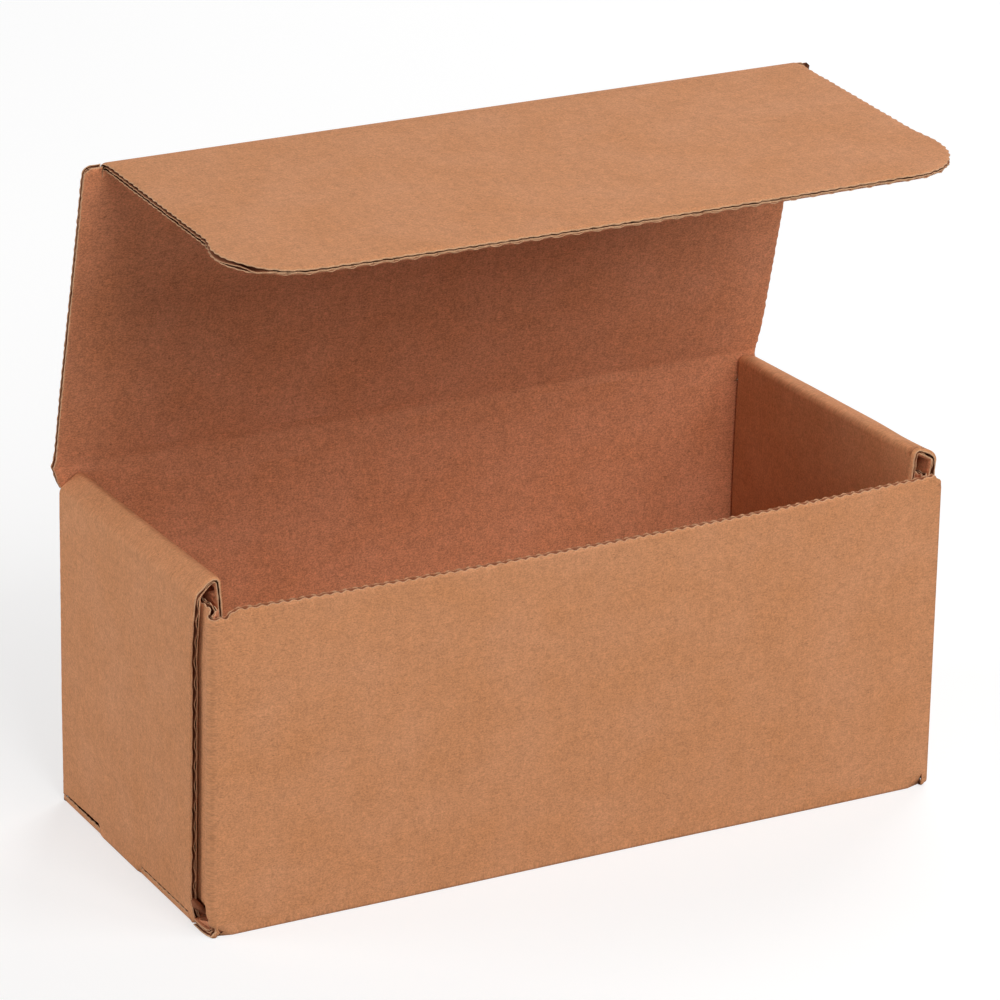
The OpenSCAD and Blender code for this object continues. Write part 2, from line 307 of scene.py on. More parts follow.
def grid_lines(lo, hi, step, bends=()):
    """Positions of grid lines, closer together over the bends."""
    lines = list(np.linspace(lo, hi, max(2, int((hi - lo) / step) + 1)))
    for a, b in bends:
        lines = [x for x in lines if not a - 0.3 < x < b + 0.3]
        lines += list(np.linspace(a, b, max(9, int((b - a) / 0.33) + 1)))
    return np.array(sorted(lines))


# Board

# Step along an outline where it is not cut
PLAIN_STEP = 4.0
# Longest step inward at a corner, where the step from a straight edge is one
MAX_STEP = 1.6
# Room between the grid's points and an outline, and how many segments are compared at a time
GRID_ROOM = 0.5
CHUNK = 400
# How far apart the boards lie in the paper's pattern, so that no two look alike
PATTERN_STEP = 700.0


def wobble(s, step, amount):
    """Smooth random offsets along a length."""
    knots = rng.normal(0, amount, int((s.max() - s.min()) / step) + 4)
    return np.interp((s - s.min()) / step, np.arange(len(knots)), knots)


def resample(loop, fine):
    """Points of a closed loop at even steps, and for each segment whether it is a cut edge."""
    points, raw = [], []
    for (u0, v0, cut), (u1, v1, _) in zip(loop, loop[1:] + loop[:1]):
        length = math.hypot(u1 - u0, v1 - v0)
        n = max(1, int(round(length / (fine if cut else PLAIN_STEP))))
        for i in range(n):
            f = i / n
            points.append((u0 + (u1 - u0) * f, v0 + (v1 - v0) * f))
            raw.append(cut)
    return np.array(points), np.array(raw, float)


def inward(points, raw):
    """The step at each point that moves every cut edge beside it in by one."""
    d = np.roll(points, -1, 0) - points
    d /= np.linalg.norm(d, axis=1)[:, None]
    n1 = np.stack((-d[:, 1], d[:, 0]), 1)
    n0 = np.roll(n1, 1, 0)
    d1, d0 = raw, np.roll(raw, 1)
    out = np.zeros_like(points)
    for k in range(len(points)):
        cross = n0[k, 0] * n1[k, 1] - n0[k, 1] * n1[k, 0]
        if d0[k] == 0 and d1[k] == 0:
            continue
        if abs(cross) < 0.08:
            out[k] = (n0[k] + n1[k]) / (1 + n0[k] @ n1[k])
        else:
            out[k] = np.linalg.solve(np.array((n0[k], n1[k])), (d0[k], d1[k]))
        size = np.linalg.norm(out[k])
        if size > MAX_STEP:
            out[k] *= MAX_STEP / size
    return out


def inside(points, loops):
    """Whether each point lies inside an odd number of closed loops."""
    odd = np.zeros(len(points), bool)
    for loop in loops:
        a, b = loop, np.roll(loop, -1, 0)
        for (ax, ay), (bx, by) in zip(a, b):
            if ay == by:
                continue
            hit = (ay > points[:, 1]) != (by > points[:, 1])
            x = ax + (points[:, 1] - ay) / (by - ay) * (bx - ax)
            odd ^= hit & (points[:, 0] < x)
    return odd


def far_from(points, loops, room):
    """Whether each point is further than some room from all the loops."""
    ok = np.ones(len(points), bool)
    for loop in loops:
        a, b = loop, np.roll(loop, -1, 0)
        d = b - a
        for start in range(0, len(a), CHUNK):
            aa, dd = a[start:start + CHUNK], d[start:start + CHUNK]
            rel = points[:, None, :] - aa[None]
            t = np.clip((rel * dd).sum(2) / np.maximum((dd * dd).sum(1), 1e-12), 0, 1)
            dist = np.linalg.norm(rel - t[..., None] * dd, axis=2)
            ok &= (dist > room).all(1)
    return ok


def stretched(x, old, new):
    """Interpolates between two scales, and goes on at the same rate past their ends."""
    y = np.interp(x, old, new)
    lo, hi = x < old[0], x > old[-1]
    y[lo] = new[0] + (x[lo] - old[0]) * (new[1] - new[0]) / (old[1] - old[0])
    y[hi] = new[-1] + (x[hi] - old[-1]) * (new[-1] - new[-2]) / (old[-1] - old[-2])
    return y


class Board:
    """Meshes one panel of corrugated board from its flat outline, which place() folds.
    Fine is the step along cut edges, ring the width of the strip beside them, and depth how
    far one can see in between the liners. Crush, press and teeth shape the edges themselves."""

    count = 0

    def __init__(self, name, place, fine=0.55, depth=4.5, crush=1.0, ring=1.3, press=None,
                 teeth=0.15):
        Board.count += 1
        self.name, self.place = name, place
        self.fine, self.depth, self.crush = fine, depth, crush
        self.ring, self.press, self.teeth = ring, press, teeth
        self.uvw, self.faces, self.mats = [], [], []
        self.n = 0
        self.offset = Board.count * PATTERN_STEP

    def add(self, u, v, w):
        """Adds points and returns the first one's number."""
        block = np.stack(np.broadcast_arrays(u, v, w), -1).reshape(-1, 3)
        first = self.n
        self.uvw.append(block)
        self.n += len(block)
        return first

    def quads(self, grid, mat, flip=False):
        """Adds the quads between the rows of a grid of point numbers."""
        a, b, c, d = grid[:-1, :-1], grid[:-1, 1:], grid[1:, 1:], grid[1:, :-1]
        q = np.stack((a, d, c, b) if flip else (a, b, c, d), -1).reshape(-1, 4)
        self.faces += q.tolist()
        self.mats += [mat] * len(q)

    def medium(self, u):
        """Height of the wavy sheet, which hangs from the middle towards the inner liner."""
        return SWING * np.sin(2 * math.pi * u / PITCH) - SWING

    def build(self, loops, lines_u, lines_v):
        """Meshes both faces over a grid, and the cut edges of the loops, the first of them
        the outline and the others holes."""
        sampled = [resample(loop, self.fine) for loop in loops]
        inner = []
        for points, raw in sampled:
            step = inward(points, raw)
            inner.append(points + step * self.ring)
            self.edge(points, raw, step)
        gu, gv = np.meshgrid(lines_u, lines_v)
        points = np.stack((gu.ravel(), gv.ravel()), 1)
        points = points[inside(points, inner)]
        points = points[far_from(points, inner, GRID_ROOM)]
        verts = np.concatenate(inner + [points])
        edges, start = [], 0
        for loop in inner:
            n = len(loop)
            edges += [(start + i, start + (i + 1) % n) for i in range(n)]
            start += n
        # Triangulated with the grid stretched to even squares, so that no triangle skips a bend
        even_u, even_v = np.arange(len(lines_u)), np.arange(len(lines_v))
        even = np.stack((stretched(verts[:, 0], lines_u, even_u),
                         stretched(verts[:, 1], lines_v, even_v)), 1)
        made = delaunay_2d_cdt([Vector(p) for p in even], edges, [], 0, 1e-6)
        co = np.array([tuple(p) for p in made[0]])
        co = np.stack((stretched(co[:, 0], even_u, lines_u),
                       stretched(co[:, 1], even_v, lines_v)), 1)
        tri = np.array(made[2])
        middle = co[tri].mean(1)
        tri = tri[inside(middle, inner)]
        a, b, c = co[tri[:, 0]], co[tri[:, 1]], co[tri[:, 2]]
        ab, ac = b - a, c - a
        area = ab[:, 0] * ac[:, 1] - ab[:, 1] * ac[:, 0]
        tri = tri[np.abs(area) > 1e-7]
        area = area[np.abs(area) > 1e-7]
        tri[area < 0] = tri[area < 0][:, ::-1]
        for w, mat in ((H, OUTER), (-H, INNER)):
            first = self.add(co[:, 0], co[:, 1], w)
            t = tri if w > 0 else tri[:, ::-1]
            self.faces += (t + first).tolist()
            self.mats += [mat] * len(t)

    def edge(self, points, raw, step):
        """Makes a strip along each unbroken run of cut edge."""
        n = len(points)
        if not raw.any():
            return
        if raw.all():
            runs = [np.arange(n + 1) % n]
        else:
            first = next(i for i in range(n) if raw[i] and not raw[i - 1])
            runs, run = [], []
            for i in range(first, first + n):
                k = i % n
                if raw[k]:
                    run = run or [k]
                    run.append((k + 1) % n)
                elif run:
                    runs.append(np.array(run))
                    run = []
            if run:
                runs.append(np.array(run))
        for run in runs:
            self.strip(points[run], step[run])

    def strip(self, p, a):
        """A cut edge: both liners bent over and frayed, and the wavy sheet between them."""
        seg = np.linalg.norm(np.diff(p, axis=0), axis=1)
        s = np.concatenate(([0], np.cumsum(seg)))
        closed = np.allclose(p[0], p[-1])
        fade = np.ones(len(s)) if closed else np.clip(np.minimum(s, s[-1] - s) / 0.8, 0, 1)
        wave = np.sin(2 * math.pi * p[:, 0] / PITCH)

        def row(depth, w):
            q = p + a * np.broadcast_to(depth, len(p))[:, None]
            return q[:, 0], q[:, 1], np.broadcast_to(w, len(p))

        def put(rows):
            first = self.n
            for depth, w in rows:
                self.add(*row(depth, w))
            return first + np.arange(len(rows) * len(p)).reshape(len(rows), len(p))

        backs = []
        for side in (1, -1):
            teeth = self.teeth * (0.5 - 0.5 * np.cos(2 * math.pi * s / KNIFE_PITCH))
            fray = (wobble(s, 0.7, 0.04) + wobble(s, 3.0, 0.02) + teeth) * fade * self.crush
            dip = (0.30 + 0.06 * (1 - side * wave) + wobble(s, 1.6, 0.04)) * self.crush
            dip = np.clip(dip, 0.0, 0.55)
            if self.press:
                dip = dip + self.press(p[:, 0], p[:, 1], side)
            dip = np.clip(dip, 0, None) * fade
            # Depth from the cut and height: over the face, round the frayed end, back inside
            rows = [(self.ring, H), (self.ring * 0.5, H - 0.3 * dip), (0.14 + fray, H - 0.8 * dip),
                    (fray, H - dip - 0.09), (fray + 0.02, H - dip - LINER + 0.03),
                    (0.4, H - LINER - 0.5 * dip), (1.3, H - LINER), (self.depth, H - LINER)]
            grid = put([(d, side * w) for d, w in rows])
            self.quads(grid[:3], OUTER if side > 0 else INNER, flip=side > 0)
            self.quads(grid[2:6], RAW, flip=side > 0)
            # Inside the flutes the liners' backs take the dark flute paper, as painted shade of the
            # hollow
            self.quads(grid[5:], FLUTE_AND_SHADE, flip=side > 0)
            backs.append(grid[-1])
        # A cap of the dark flute paper closes the hollow at the depth one can see: painted shade
        # where the flutes run on
        ends = np.stack(backs)
        self.quads(ends, FLUTE_AND_SHADE, flip=True)
        recess = np.clip(0.25 + wobble(s, 0.9, 0.12), 0.02, 0.6) * fade + 0.3 * (1 - fade)
        depths = [recess, 0.9, 1.8, 3.0, self.depth]
        for side in (1, -1):
            rows = []
            for d in depths:
                u = p[:, 0] + a[:, 0] * d
                rows.append((d, self.medium(u) + side * MEDIUM / 2))
            grid = put(rows)
            self.quads(grid, FLUTE_AND_SHADE, flip=side < 0)
            backs.append(grid[0])
        self.quads(np.stack(backs[2:]), RAW, flip=True)

    def make(self, body=None):
        """The folded mesh as an object that rides on a body."""
        uvw = np.concatenate(self.uvw)
        u, v, w = uvw.T
        co = self.place(u, v, w)
        mid_u, mid_v = np.array([np.median(u)]), np.array([np.median(v)])
        zero = np.zeros(1)
        o = self.place(mid_u, mid_v, zero)
        du = self.place(mid_u + 0.05, mid_v, zero) - o
        dv = self.place(mid_u, mid_v + 0.05, zero) - o
        dw = self.place(mid_u, mid_v, zero + 0.05) - o
        faces = self.faces
        if np.dot(np.cross(du[0], dv[0]), dw[0]) < 0:
            faces = [f[::-1] for f in faces]
        mesh = bpy.data.meshes.new(self.name)
        mesh.from_pydata((co * MM).tolist(), [], faces)
        for m in MATERIALS:
            mesh.materials.append(m)
        mesh.polygons.foreach_set("material_index", self.mats)
        mesh.polygons.foreach_set("use_smooth", [True] * len(faces))
        flat = mesh.attributes.new("flat", "FLOAT_VECTOR", "POINT")
        uvw = uvw.copy()
        uvw[:, 0] += self.offset
        flat.data.foreach_set("vector", (uvw * MM).astype(np.float32).ravel())
        mesh.update()
        ob = bpy.data.objects.new(self.name, mesh)
        scene.collection.objects.link(ob)
        if body:
            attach(ob, body)
        return ob


def smooth(x, lo, hi):
    """Rises from 0 at lo to 1 at hi, level at both ends."""
    t = np.clip((x - lo) / (hi - lo), 0, 1)
    return t * t * (3 - 2 * t)


def lerp_table(x, table):
    """Looks x up in a table of (x, value), with straight lines between its rows."""
    xs, ys = zip(*table)
    return np.interp(x, xs, ys)


def arc(cx, cy, r, a0, a1, step=0.5):
    """Points of an arc, in degrees."""
    n = max(3, int(abs(math.radians(a1 - a0)) * r / step))
    return [(cx + r * math.cos(math.radians(a0 + (a1 - a0) * i / n)),
             cy + r * math.sin(math.radians(a0 + (a1 - a0) * i / n))) for i in range(n + 1)]


# Tray


def lean(co):
    """The slight lean and bow that the folded tray has, more at the right than at the left."""
    x, y, z = co.T
    side = (x + HALF_L) / (2 * HALF_L)
    rise = np.clip(z / 106, 0, 1.1)
    left = lerp_table(y, [(-56, 1.6), (-44, 1.4), (0, 0.6), (56, 0)])
    right = lerp_table(y, [(-56, 1.8), (-51.5, 1.8), (-47, 4.9), (-44, 4.2), (-35, 2.9), (-7, 1.6),
                           (21, 0.4), (52, 0)])
    dx = rise * (left * (1 - side) + right * side)
    bow = FRONT_BOW * (1 - np.clip(np.abs(x) / 122, 0, 1) ** 2)
    bow = bow * np.clip(z / FRONT_H, 0, 1.1) ** 1.6
    low = 1 - np.clip(z / FRONT_H, 0, 1)
    foot = (0.4 * smooth(-x, 40, 110) - 0.9 * smooth(x, 0, 110) - 0.5) * low
    dx = dx - 0.4 * low * smooth(-x, 118, 121)
    dy = (foot - bow) * smooth(-y, 46, 52)
    return np.stack((x + dx, y + dy, z), 1)


# Where the front corner flaps have stepped in, the front panel's two folds, and where its
# lower fold ends
STEP_IN = -48.4
FOLD_LEFT = -122.7
FOLD_RIGHT = 123.1
SEAM = 120.6
front_path = Path(
    [(-FLAP_MID, -9.05), (-FLAP_MID, STEP_IN), (FOLD_LEFT, H - HALF_W),
     (FOLD_RIGHT, H - HALF_W), (FLAP_MID, STEP_IN), (FLAP_MID, -9.05)],
    [2.2, 0.9, (0.9, 1.95), 2.2])
back_path = Path(
    [(FLAP_MID, 9.05), (FLAP_MID, HALF_W - H), (-FLAP_MID, HALF_W - H), (-FLAP_MID, 9.05)],
    [(1.05, 1.1), (1.05, 1.1)], lead=1.0)


def place_front(u, v, w):
    x, y = front_path.place(u, w)
    return lean(np.stack((x, y, v), 1))


def place_back(u, v, w):
    x, y = back_path.place(u, w)
    return lean(np.stack((x, y, v), 1))


def outline(right_side, top_cut, bottom_cut, left_side=None):
    """A closed outline from its sides, each listed from the bottom to the top as (u, v, cut).
    There cut says whether the line after the point is a cut edge, and the left side is
    given by its distances, or is the right side's mirror image."""
    left = left_side or right_side
    loop = right_side[:-1] + [(*right_side[-1][:2], top_cut)]
    cuts = [c for _, _, c in left[:-1]][::-1] + [bottom_cut]
    return loop + [(-u, v, c) for (u, v, _), c in zip(reversed(left), cuts)]


end_u = front_path.s[-1]
fold_end = front_path.bends[2][1]
flap_side = [(end_u - 2.0, 5.2, 1), (end_u, 7.2, 1), (end_u, 99.0, 1), (end_u - 2.0, 101.2, 1),
             (fold_end + 2.5, FLAP_TOP, 1)]
foot_left = [(SEAM, 4.0, 0), (SEAM, 0.2, 1), (121.4, 2.0, 1), (122.2, 4.6, 1),
             (fold_end, 6.6, 1), (fold_end + 1.6, 5.6, 1)]
foot_right = [(SEAM, 4.0, 0), (SEAM, 0.2, 1), (fold_end - 0.6, 0.3, 1), (fold_end + 0.4, 1.4, 1),
              (fold_end + 1.6, 5.0, 1)]
b = Board("front_panel", place_front, teeth=0.55)
b.build([outline(foot_right + flap_side + [(fold_end - 0.3, 100.9, 1), (121.6, 102.4, 1),
                                          (119.8, 103.8, 1), (116.0, 103.4, 0)], 1, 0,
                 foot_left + flap_side + [(fold_end - 1.0, 100.9, 1), (118.2, 100.7, 1),
                                          (115.2, 102.9, 0)])],
        grid_lines(-end_u, end_u, 5, front_path.bends), grid_lines(0, 104, 5))
front = b.make("tray")

end_u = back_path.s[-1]
right_side = [(BACK_HALF, 4.0, 1), (BACK_HALF, 0.9, 1), (118.2, 0.9, 1), (119.6, 4.4, 1),
              (end_u - 2, 5.2, 1), (end_u, 7.2, 1), (end_u, 99.0, 1), (end_u - 2, 101.2, 1),
              (BACK_HALF, FLAP_TOP, 0)]
b = Board("back_panel", place_back, fine=0.8)
b.build([outline(right_side, 0, 0)], grid_lines(-end_u, end_u, 5, back_path.bends),
        grid_lines(0, 104, 5))
back = b.make("tray")


def place_back_top(u, v, w):
    return lean(np.stack((-u, np.full_like(u, HALF_W - H) + w, v), 1))


band_z = HINGE[1] - BAND
ear_foot = [(BACK_HALF, FLAP_TOP, 1), (120.0, 101.8, 1)]
ear_right = ear_foot + [(120.4, 104.5, 1), (121.1, 106.8, 1), (121.3, band_z, 0)]
ear_left = ear_foot + [(121.8, 103.8, 1), (122.9, 105.6, 1), (123.5, band_z, 0)]
b = Board("back_panel_top", place_back_top, fine=0.6)
b.build([outline(ear_left, 0, 0, ear_right)], grid_lines(-122, 122, 6), grid_lines(100, 110, 2.5))
back_top = b.make("tray")

# Side walls: outer layer, roll over the top, inner layer
WALL_JOIN = 118.5
R_FOLD = 2.4 - H
FOLD_CRISP = 0.4
wall_path = Path(
    [(WALL_JOIN, H), (OUTER_MID, H), (OUTER_MID, 103.78), (INNER_MID, 108.57), (INNER_MID, 3.2)],
    [(R_FOLD, FOLD_CRISP), 3.2 - H, 2.2 - H])


def make_wall(name, sign):
    """The right side wall for sign 1, and the left one for sign -1."""

    def place(u, v, w):
        x, z = wall_path.place(u, w)
        y = -v * sign
        if sign > 0:
            # The right wall's roll stands higher and flatter than the left one's
            flat = lerp_table(y, [(-47, 0.7), (-20, 1.0), (20, 1.0), (52, 0.75)])
            z = z + smooth(z, 80, 104) * (1.0 + 2.2 * smooth(x, 116.5, OUTER_MID)) * flat
        layer = smooth(x, 119.5, 117.5)
        x = x - INNER_BOW * layer * np.sin(np.clip(z / 104, 0, 1) * math.pi)
        return lean(np.stack((sign * x, y, z), 1))

    u0, u1 = wall_path.s[0], wall_path.s[-1]
    u_slit = wall_path.bends[0][1] - 0.1
    u_over = wall_path.where(1, 3.3)
    u_top = wall_path.where(1, 102.8)
    u_web = wall_path.where(0, 118.6, last=True)
    u_in = wall_path.where(1, 100, last=True)
    tab_u = u1 + T
    # The outer layer's front and rear ends, as heights and y
    if sign < 0:
        front_edge = [(7, -41.5), (41, -41.8), (73, -41.9), (84, -41.6), (99, -43.2)]
        front_top, reach = -43.8, -45.35
    else:
        front_edge = [(7, -44.5), (60, -45.6), (99, -47.0)]
        front_top, reach = -47.4, -46.4
    rear_edge = [(104, 52.5), (84, 52.9), (34, 54.2), (2.0, 54.4), (2.7, 51)]

    def v_of(y):
        return -y * sign

    # Corners from the bottom fold round to the inner wall's foot, then back along the rear end
    pts = [(u0, WALL_FRONT, 1), (u_slit, WALL_FRONT, 1)]
    pts += [(wall_path.where(1, z), y, 1) for z, y in front_edge]
    pts += [(u_top, front_top, 1), (u_web, front_top + 0.3, 1), (u_in, reach, 1), (u1, reach, 1)]
    for y0, y1 in TABS_Y:
        pts += [(u1, y0, 1), (tab_u, y0 + TAB_BEVEL, 1), (tab_u, y1 - TAB_BEVEL, 1), (u1, y1, 1)]
    pts += [(u1, WALL_BACK, 1), (u_web, WALL_BACK, 1)]
    pts += [(wall_path.where(1, z), y, 1) for z, y in rear_edge]
    pts += [(u_over, 26.5, 1), (u_slit, 25.6, 1), (u_slit, 54.2, 1), (u0, 54.2, 0)]
    loop = [(u, v_of(y), c) for u, y, c in pts]
    hole = [(u_slit, -39.5), (u_slit, -5.5), (u_over - 0.8, -5.5), (u_over - 0.8, -39.5)]
    if sign < 0:
        hole_loop = [(u, v_of(y), 1) for u, y in hole]
    else:
        # v runs the other way here, so both loops are turned round
        cuts = [c for _, _, c in loop]
        loop = [(u, v) for u, v, _ in loop][::-1]
        cuts = cuts[::-1]
        cuts = cuts[1:] + cuts[:1]
        loop = [(u, v, c) for (u, v), c in zip(loop, cuts)]
        hole_loop = [(u, v_of(y), 1) for u, y in hole[::-1]]

    def roll_press(u, v, side):
        """The roll and the inner wall are pressed flatter at their ends than the outer wall."""
        return 0.3 * smooth(u, u_top - 3, u_top)

    b = Board(name, place, fine=0.6, ring=0.9, press=roll_press)
    b.build([loop, hole_loop], grid_lines(u0, tab_u, 5, wall_path.bends), grid_lines(-54, 54, 5))
    return b.make("tray")


wall_left = make_wall("side_wall_left", -1)
wall_right = make_wall("side_wall_right", 1)

# Bottom panel with the lower folds of the front and back panels
spine_path = Path([(H - HALF_W, 4.0), (H - HALF_W, H), (HALF_W - H, H), (HALF_W - H, 4.0)],
                  [(R_FOLD, FOLD_CRISP), (R_FOLD, FOLD_CRISP)])


def place_spine(u, v, w):
    y, z = spine_path.place(v, w)
    return lean(np.stack((u, y, z), 1))


end_v = spine_path.s[-1]
corner = [(121.7, -53.9), (122.65, -52.4), (123.0, -49.4)]
right_side = ([(SEAM, -end_v, 0), (SEAM, -54.3, 1)] + [(x, y, 1) for x, y in corner]
              + [(123.0, WALL_FRONT, 1), (WALL_JOIN, WALL_FRONT, 0), (WALL_JOIN, WALL_BACK, 1),
                 (118.3, 52.8, 1), (BACK_HALF, 54.0, 1), (BACK_HALF, end_v, 0)])
# Slots for the inner layers' locking tabs
slots = []
for tab_start, tab_end in TABS_Y:
    y0, y1 = tab_start - SLOT_ROOM, tab_end + SLOT_ROOM
    for s in (-1, 1):
        x0, x1 = sorted(s * x for x in SLOT_X)
        slots.append([(x0, y0, 1), (x0, y1, 1), (x1, y1, 1), (x1, y0, 1)])
b = Board("bottom_panel", place_spine, fine=0.7, depth=2.5, crush=0.4, teeth=0)
b.build([outline(right_side, 0, 0)] + slots, grid_lines(-122, 122, 6),
        grid_lines(-end_v, end_v, 6, spine_path.bends))
bottom = b.make("tray")

# Lid


def hinge_frame(x, forward, up):
    """A point given along the shut lid's directions, turned to where the lid stands."""
    c, s = math.cos(LID_OPEN), math.sin(LID_OPEN)
    y = HINGE[0] - forward * c + up * s
    z = HINGE[1] + forward * s + up * c
    return np.stack((x, y, z), 1)


def fold_rise(u):
    """How much further than its plain length the lid reaches, along its front fold."""
    return 0.54 + 0.23 * u / HALF_L


def place_lid(u, v, w):
    return hinge_frame(u, v * (1 + fold_rise(u) / LID_REACH), w)


def lid_right(v):
    """How far the lid reaches to the right, at a length from its hinge."""
    return 122.3 - 1.0 * (1 - smooth(v, -2, 13)) ** 1.5


def lid_left(v):
    """How far the lid reaches to the left, at a length from its hinge."""
    return 122.8 + 0.9 * (1 - smooth(v, 10, 104))


top_v = LID_REACH - BAND
shoulder_v = LID_REACH + 0.5
LID_ROUND = 3.0
lid_loop = [(lid_right(v), v, 1) for v in (BAND, 6, 9, 13)]
round_v = shoulder_v - LID_ROUND
lid_loop += [(x, v, 1) for x, v in arc(lid_right(99) - LID_ROUND, round_v, LID_ROUND, 0, 90)]
lid_loop += [(SHOULDER_RIGHT, shoulder_v, 1), (SHOULDER_RIGHT, top_v, 0)]
lid_loop += [(-SHOULDER_LEFT, top_v, 1), (-SHOULDER_LEFT, shoulder_v, 1)]
lid_loop += [(x, v, 1) for x, v in arc(LID_ROUND - lid_left(104), round_v, LID_ROUND, 90, 180)]
lid_loop += [(-lid_left(v), v, 1) for v in (80, 50, 25, 12)] + [(-lid_left(BAND), BAND, 0)]
b = Board("lid_panel", place_lid)
b.build([lid_loop], grid_lines(-123, 123, 6), grid_lines(0, 106, 6))
lid = b.make("lid")

# Tuck flap: how far it is shifted and turned, half its width, half that over its ears,
# and the length to its tip

TUCK_SHIFT = 1.0
TUCK_TURN = 0.007
TUCK_HALF = 117.3
EAR = 119.3
TUCK_TIP = 101.65


def place_tuck(u, v, w):
    c, s = math.cos(TUCK_FOLD), math.sin(TUCK_FOLD)
    turned_u, turned_v = u + TUCK_TURN * v, v - TUCK_TURN * u * smooth(v, 0, 30)
    side = turned_u / TUCK_HALF
    sag = 0.35 * side ** 2 - 0.95 * side - 0.85 + 0.65 * smooth(side, 0.1, 1)
    sag = np.clip(v / 100, 0, 1.1) * sag
    forward = turned_v * c + w * s
    up = -turned_v * s + w * c
    co = hinge_frame(turned_u, LID_REACH + forward + fold_rise(turned_u), up)
    co[:, 2] += sag
    return co


def front_press(u, v, side):
    """The tuck flap's front edge is pressed flat, its lower liner more than its upper one."""
    front = smooth(v, 92, 99)
    return front * (0.2 if side > 0 else 0.8) - 0.22 * (1 - front)


# For each side: its sign, its corner's radius, and how far it is moved to the right before its
# ear and along it
tuck_loop = []
for sign, corner_r, near, far in ((1, 20.5, 0.1, -0.7), (-1, 22, 0.0, 0.0)):
    side = [(TUCK_HALF, BAND), (TUCK_HALF, 69.0), (TUCK_HALF + 0.4, 71.5), (EAR - 0.4, 75.5),
            (EAR, 77.5)]
    side += arc(EAR - corner_r, TUCK_TIP - corner_r, corner_r, 0, 90)
    side = [(TUCK_SHIFT + sign * x + near + (far - near) * smooth(v, 70, 78), v, 1)
            for x, v in side]
    tuck_loop += side[::sign]
# The last line, back along the fold, is no cut edge
tuck_loop[-1] = (*tuck_loop[-1][:2], 0)
b = Board("tuck_flap_panel", place_tuck, fine=0.5, ring=2.0, press=front_press, teeth=0.4)
b.build([tuck_loop], grid_lines(-120, 121, 6), grid_lines(0, 102, 6))
tuck = b.make("tuck_flap")

# Creases

crease_end = (HINGE[0] - BAND * math.cos(LID_OPEN), HINGE[1] + BAND * math.sin(LID_OPEN))
crease_path = Path([(HINGE[0], band_z), HINGE, crease_end], [4.0])


def place_crease(u, v, w):
    y, z = crease_path.place(v, w)
    return np.stack((u, y, z), 1)


end_v = crease_path.s[-1]
crease_loop = [(lid_right(-BAND), -end_v, 1), (lid_right(0), 0, 1),
               (lid_right(BAND), end_v, 0), (-lid_left(BAND), end_v, 1),
               (-lid_left(0) - 0.7, 0, 1), (-123.5, -end_v, 0)]
b = Board("lid_crease", place_crease, fine=0.5)
b.build([crease_loop], grid_lines(-123, 123, 6), grid_lines(-end_v, end_v, 0.75))
lid_crease = b.make()

zero = np.zeros(1)
tuck_axis = hinge_frame(zero, zero + LID_REACH, zero)[0, 1:]
before = hinge_frame(zero, zero + LID_REACH - BAND, zero)[0, 1:]
after = hinge_frame(zero, zero + LID_REACH + BAND * math.cos(TUCK_FOLD),
                    zero - BAND * math.sin(TUCK_FOLD))[0, 1:]
tuck_path = Path([before, tuck_axis, after], [1.5])


def place_tuck_crease(u, v, w):
    y, z = tuck_path.place(v, w)
    rise = fold_rise(u)
    return np.stack((u, y - rise * math.cos(LID_OPEN), z + rise * math.sin(LID_OPEN)), 1)


end_v = tuck_path.s[-1]
crease_loop = [(SHOULDER_RIGHT, -end_v, 1), (SHOULDER_RIGHT, 0, 1),
               (TUCK_SHIFT + TUCK_HALF, end_v, 0), (TUCK_SHIFT - TUCK_HALF, end_v, 1),
               (-SHOULDER_LEFT, 0, 1), (-SHOULDER_LEFT, -end_v, 0)]
b = Board("tuck_crease", place_tuck_crease, fine=0.5)
b.build([crease_loop], grid_lines(-118, 119, 6), grid_lines(-end_v, end_v, 0.3))
tuck_crease = b.make()


def bend_between(ob, place, end_v):
    """Works out the direction from one end of a crease to the other, which nothing uses, and bakes
    the crease's placement into its mesh.
    """
    u = np.array([0.0, 0.0])
    w = np.array([H, -H])
    lo = place(u, np.full(2, -end_v), w)
    hi = place(u, np.full(2, end_v), w)
    d = hi.mean(0) - lo.mean(0)
    d /= np.linalg.norm(d)
    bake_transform(ob)


bend_between(lid_crease, place_crease, crease_path.s[-1])
bend_between(tuck_crease, place_tuck_crease, tuck_path.s[-1])

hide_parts("tray")
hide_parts("lid")
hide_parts("tuck_flap")

# Camera, fitted to the photo: its turn, its place in millimetres and its focal length in
# pixels of a square picture

ROTVEC = Vector((1.900231240901643, -0.46197451072004214, 0.3267193594867991))
CAMERA_AT = Vector((-655.12, -1243.68, 643.96))
FOCAL_PX, PICTURE_PX, SENSOR = 4941.349, 1000, 36
turn = Matrix.Rotation(ROTVEC.length, 3, ROTVEC.normalized())
right, down, forward = turn[0], turn[1], turn[2]
cam_data = bpy.data.cameras.new("camera")
cam_data.sensor_width = SENSOR
cam_data.lens = FOCAL_PX * SENSOR / PICTURE_PX
cam_data.clip_start, cam_data.clip_end = 0.1, 20
cam = bpy.data.objects.new("camera", cam_data)
axes = Matrix((right, -down, -forward)).transposed().to_4x4()
cam.matrix_world = Matrix.Translation(CAMERA_AT * MM) @ axes
scene.collection.objects.link(cam)
scene.camera = cam

# Floor and light

FLOOR_HALF = 6
FLOOR_GREY = (0.45, 0.45, 0.45, 1)
FLOOR_GLOW = 0.6
FILL = 0.02
WHITE = (1, 1, 1, 1)


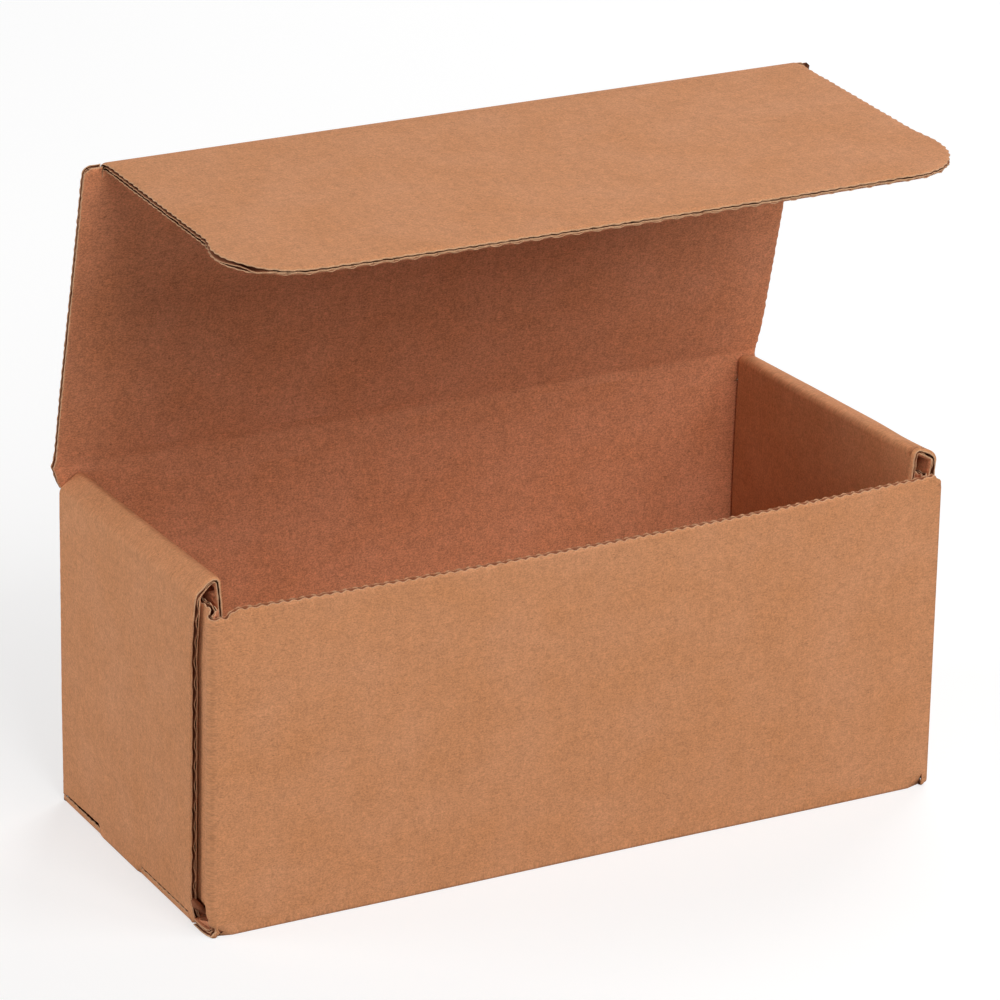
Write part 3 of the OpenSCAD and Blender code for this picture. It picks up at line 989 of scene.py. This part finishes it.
def by_camera_ray(nodes, links, others, camera, surface):
    """Gives camera rays one shader, and all other rays another one."""
    path = nodes.new("ShaderNodeLightPath")
    mix = nodes.new("ShaderNodeMixShader")
    links.new(path.outputs["Is Camera Ray"], mix.inputs["Fac"])
    links.new(others, mix.inputs[1])
    links.new(camera, mix.inputs[2])
    links.new(mix.outputs["Shader"], surface)


mesh = bpy.data.meshes.new("floor")
corners = [(x * FLOOR_HALF, y * FLOOR_HALF, 0) for x, y in ((-1, -1), (1, -1), (1, 1), (-1, 1))]
mesh.from_pydata(corners, [], [(0, 1, 2, 3)])
floor = bpy.data.objects.new("floor", mesh)
scene.collection.objects.link(floor)
fmat = bpy.data.materials.new("floor")
nodes, links = nodes_of(fmat)
bsdf = nodes["Principled BSDF"]
bsdf.inputs["Base Color"].default_value = FLOOR_GREY
bsdf.inputs["Roughness"].default_value = 1.0
bsdf.inputs["Specular IOR Level"].default_value = 0.0
# The camera sees a floor that is white where it is lit, and grey only in the object's shadow
seen = nodes.new("ShaderNodeAddShader")
glow = nodes.new("ShaderNodeEmission")
glow.inputs["Strength"].default_value = FLOOR_GLOW
links.new(bsdf.outputs["BSDF"], seen.inputs[0])
links.new(glow.outputs["Emission"], seen.inputs[1])
by_camera_ray(nodes, links, bsdf.outputs["BSDF"], seen.outputs["Shader"],
              nodes["Material Output"].inputs["Surface"])
floor.data.materials.append(fmat)

# White for the camera, and a faint even fill for everything else
world = bpy.data.worlds.new("world")
scene.world = world
world.use_nodes = True
nodes, links = world.node_tree.nodes, world.node_tree.links
fill = nodes["Background"]
fill.inputs["Color"].default_value = WHITE
fill.inputs["Strength"].default_value = FILL
white = nodes.new("ShaderNodeBackground")
white.inputs["Strength"].default_value = 1.0
white.inputs["Color"].default_value = WHITE
by_camera_ray(nodes, links, fill.outputs["Background"], white.outputs["Background"],
              nodes["World Output"].inputs["Surface"])

# Softboxes: their distance from the point they are aimed at, and their side, in metres
LIGHT_FAR = 2.2
LIGHT_SIZE = 1.1
AIM = Vector((0, 0, 0.08))
# Name, azimuth from +X and elevation in degrees, power in watts
SOFTBOXES = [("front", -90, 38, 25.6), ("front_high", -90, 60, 5.0),
             ("front_right", -45, 38, 13.7), ("front_left_low", -135, 8, 6.8),
             ("left_low", 155, 8, 30.0), ("back_right", 45, 38, 20.8)]
for name, azimuth, elevation, power in SOFTBOXES:
    a, e = math.radians(azimuth), math.radians(elevation)
    data = bpy.data.lights.new(name, "AREA")
    data.shape = "SQUARE"
    data.size = LIGHT_SIZE
    data.energy = power
    ob = bpy.data.objects.new(name, data)
    direction = Vector((math.cos(e) * math.cos(a), math.cos(e) * math.sin(a), math.sin(e)))
    ob.location = AIM + direction * LIGHT_FAR
    ob.rotation_euler = direction.to_track_quat("Z", "Y").to_euler()
    scene.collection.objects.link(ob)
scene.view_settings.view_transform = "Standard"
